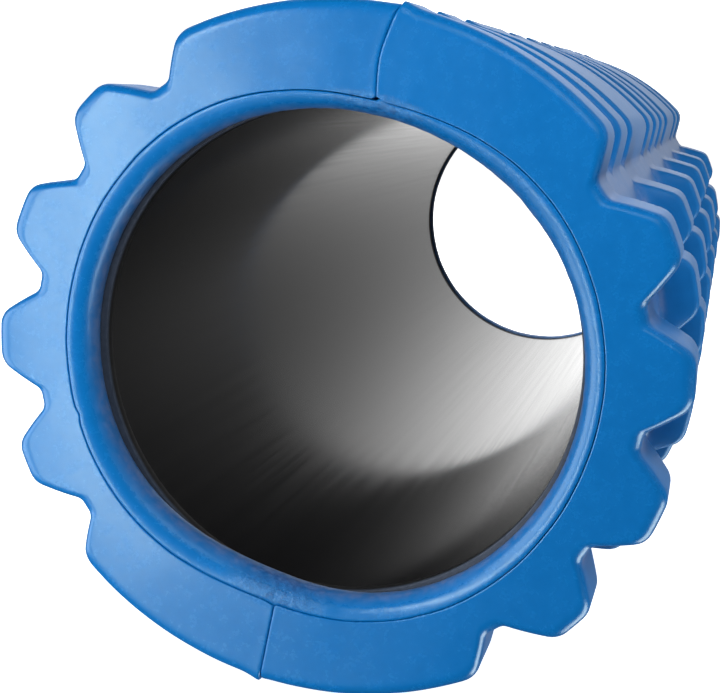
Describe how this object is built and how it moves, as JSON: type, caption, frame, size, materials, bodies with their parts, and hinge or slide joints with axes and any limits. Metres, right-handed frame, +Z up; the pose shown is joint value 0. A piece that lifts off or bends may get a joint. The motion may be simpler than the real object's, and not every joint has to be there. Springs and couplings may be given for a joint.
{
  "type": "hollow foam massage roller",
  "caption": "Hollow-core foam massage roller: a rigid tube in two moulded foam half shells with raised blocks and ribs, closed at each end by a foam lip ring.",
  "frame": {"origin": "centre of the roller's bounding box, on its axis at mid-length", "axes": "+Y along the roller's axis from the front end to the rear end, +Z up through the middle of the upper lobe and its seam, +X to the right seen from the front end"},
  "size_m": [0.14, 0.33, 0.1368],
  "materials": {
    "eva_foam": "satin moulded skin with a fine mottle",
    "tube_plastic": "extruded, satin to glossy inside with fine lengthwise scratches"
  },
  "bodies": {
    "root": {"core_tube": "tube_plastic", "foam_shell_left": "eva_foam", "foam_shell_right": "eva_foam", "end_lip_front": "eva_foam", "end_lip_rear": "eva_foam"}
  },
  "joints": []
}
